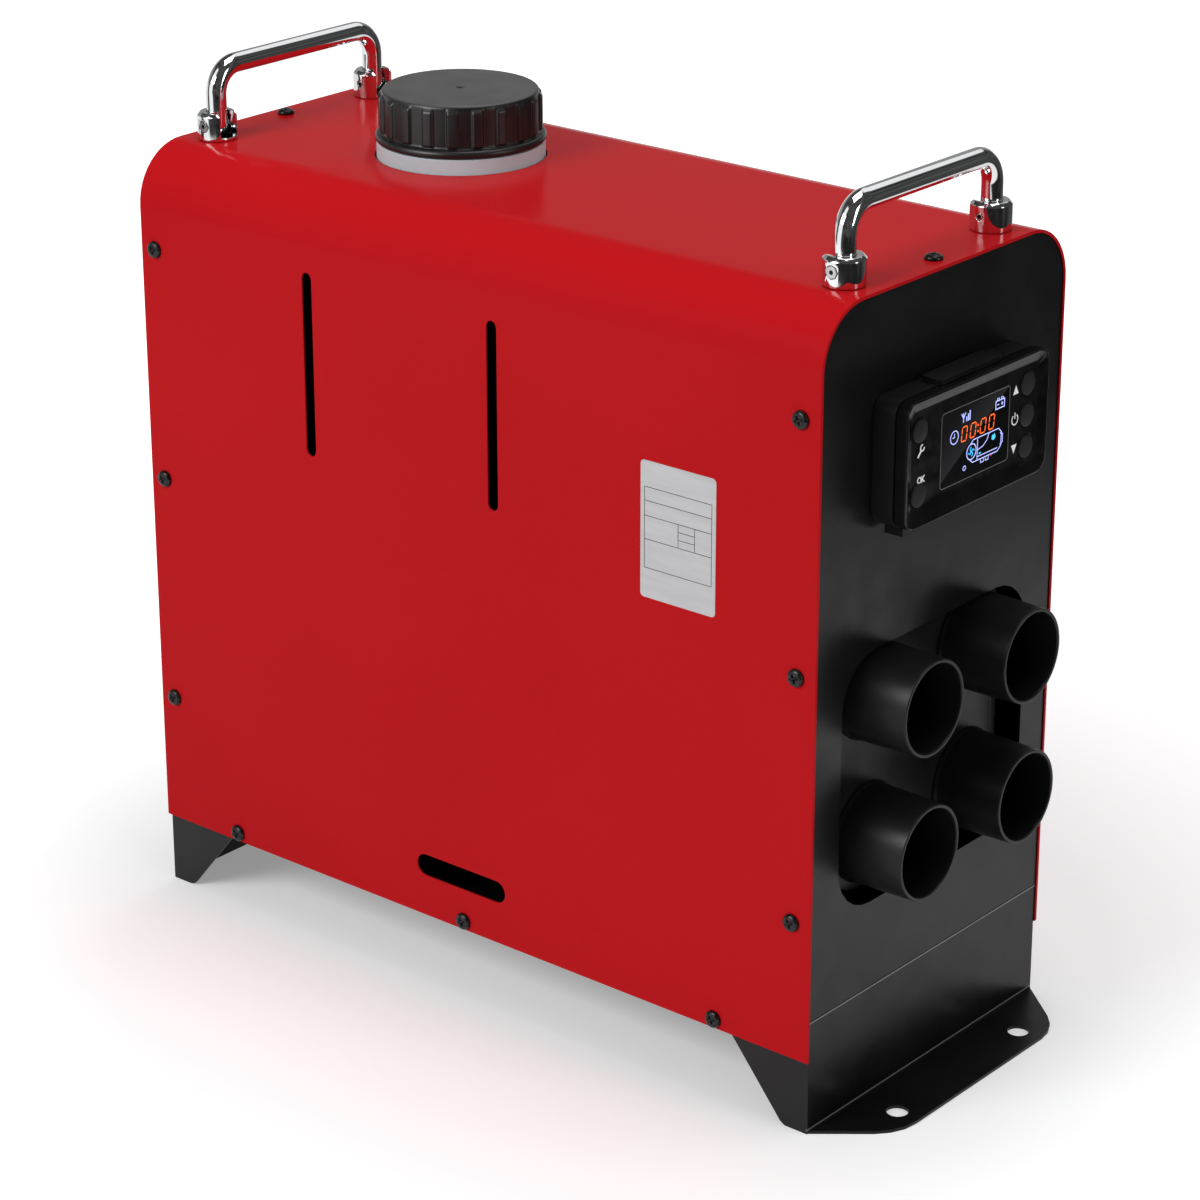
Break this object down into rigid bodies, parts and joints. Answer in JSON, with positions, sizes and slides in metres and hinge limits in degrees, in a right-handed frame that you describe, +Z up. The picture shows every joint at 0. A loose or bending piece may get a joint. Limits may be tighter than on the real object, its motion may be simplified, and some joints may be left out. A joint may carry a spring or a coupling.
{
  "type": "diesel air heater",
  "caption": "Diesel air heater in a bent sheet case on two folded feet, with round warm-air outlets, a front control panel, a screw cap on its fuel tank and fold-down carrying handles.",
  "frame": {"origin": "on the floor under the middle of the bounding box", "axes": "+Z up, +X towards the outlet end with the control panel, +Y across the case"},
  "size_m": [0.431, 0.18, 0.4189],
  "materials": {
    "red_shell": "glossy stoved enamel",
    "black_frame": "satin powder coat",
    "black_screw": "black oxide",
    "chrome_handle": "polished chrome plate",
    "plain_steel": "plain zinc-plated steel",
    "black_tank": "satin moulded plastic",
    "white_neck": "satin moulded plastic",
    "cap_plastic": "satin moulded plastic",
    "filter_plastic": "milky moulded plastic",
    "soft_rubber": "matt rubber",
    "panel_plastic": "fine-grained moulded plastic",
    "panel_gloss": "piano-black moulded plastic",
    "panel_window": "dark display window",
    "circuit_board": "solder mask",
    "button_rubber": "matt silicone",
    "duct_plastic": "satin moulded plastic",
    "core_plastic": "moulded plastic",
    "cast_aluminium": "as cast"
  },
  "bodies": {
    "root": {"outer_shell": "red_shell", "front_end_plate": "black_frame", "rear_end_plate": "black_frame", "inlet_guard": "duct_plastic", "power_gland": "soft_rubber", "front_foot": "black_frame", "rear_foot": "black_frame", "base_tray": "black_frame", "front_near_handle_post": "chrome_handle", "front_near_handle_pin": "plain_steel", "front_far_handle_post": "chrome_handle", "front_far_handle_pin": "plain_steel", "rear_near_handle_post": "chrome_handle", "rear_near_handle_pin": "plain_steel", "rear_far_handle_post": "chrome_handle", "rear_far_handle_pin": "plain_steel", "fuel_tank": "black_tank", "neck_collar": "white_neck", "tank_shelf": "plain_steel", "fuel_filter": "filter_plastic", "fuel_pump": "plain_steel", "pump_clip": "soft_rubber", "tank_hose": "soft_rubber", "pump_hose": "soft_rubber", "burner_hose": "soft_rubber", "controller_cradle": "panel_plastic", "controller_case": "panel_plastic", "display_board": "circuit_board", "display_window": "panel_window", "controller_bezel": "panel_gloss", "outlet_plenum": "duct_plastic", "outlet_nozzle_1": "duct_plastic", "outlet_nozzle_2": "duct_plastic", "outlet_nozzle_3": "duct_plastic", "outlet_nozzle_4": "duct_plastic", "core_lower_half": "core_plastic", "core_upper_half": "core_plastic", "heat_exchanger": "cast_aluminium", "burner_tube": "plain_steel", "combustion_housing": "cast_aluminium", "glow_plug": "plain_steel", "fan_motor": "plain_steel", "control_unit": "core_plastic", "overheat_sensor": "plain_steel", "core_stand": "plain_steel", "exhaust_pipe": "plain_steel", "intake_pipe": "soft_rubber"},
    "cap_carrier": {"cap_seal": "soft_rubber"},
    "cap": {"fuel_cap": "cap_plastic"},
    "front_grip": {"front_handle": "chrome_handle"},
    "rear_grip": {"rear_handle": "chrome_handle"},
    "rotor": {"fan_shaft": "plain_steel", "air_impeller": "core_plastic", "combustion_impeller": "cast_aluminium"},
    "settings_key": {"settings_button": "button_rubber"},
    "confirm_key": {"confirm_button": "button_rubber"},
    "up_key": {"up_button": "button_rubber"},
    "power_key": {"power_button": "button_rubber"},
    "down_key": {"down_button": "button_rubber"}
  },
  "joints": [
    {"name": "cap_turn", "type": "hinge", "parent": "cap_carrier", "child": "cap", "pos_m": [-0.0925, 0, 0.395], "axis": [0, 0, 1], "range_deg": [0, 720]},
    {"name": "cap_rise", "type": "slide", "parent": "root", "child": "cap_carrier", "axis": [0, 0, 1], "range_m": [0, 0.01]},
    {"name": "front_handle_fold", "type": "hinge", "parent": "root", "child": "front_grip", "pos_m": [0.168, 0, 0.3872], "axis": [0, -1, 0], "range_deg": [0, 90]},
    {"name": "rear_handle_fold", "type": "hinge", "parent": "root", "child": "rear_grip", "pos_m": [-0.199, 0, 0.3872], "axis": [0, 1, 0], "range_deg": [0, 90]},
    {"name": "fan_spin", "type": "hinge", "parent": "root", "child": "rotor", "pos_m": [-0.1155, 0, 0.16], "axis": [1, 0, 0], "continuous": true},
    {"name": "settings_press", "type": "slide", "parent": "root", "child": "settings_key", "axis": [-1, 0, 0], "range_m": [0, 0.001], "stiffness_N_per_m": 400},
    {"name": "confirm_press", "type": "slide", "parent": "root", "child": "confirm_key", "axis": [-1, 0, 0], "range_m": [0, 0.001], "stiffness_N_per_m": 400},
    {"name": "up_press", "type": "slide", "parent": "root", "child": "up_key", "axis": [-1, 0, 0], "range_m": [0, 0.001], "stiffness_N_per_m": 400},
    {"name": "power_press", "type": "slide", "parent": "root", "child": "power_key", "axis": [-1, 0, 0], "range_m": [0, 0.001], "stiffness_N_per_m": 400},
    {"name": "down_press", "type": "slide", "parent": "root", "child": "down_key", "axis": [-1, 0, 0], "range_m": [0, 0.001], "stiffness_N_per_m": 400}
  ],
  "couplings": [
    {"joint": "cap_rise", "follows": "cap_turn", "m_per_rad": 0.00079577}
  ]
}
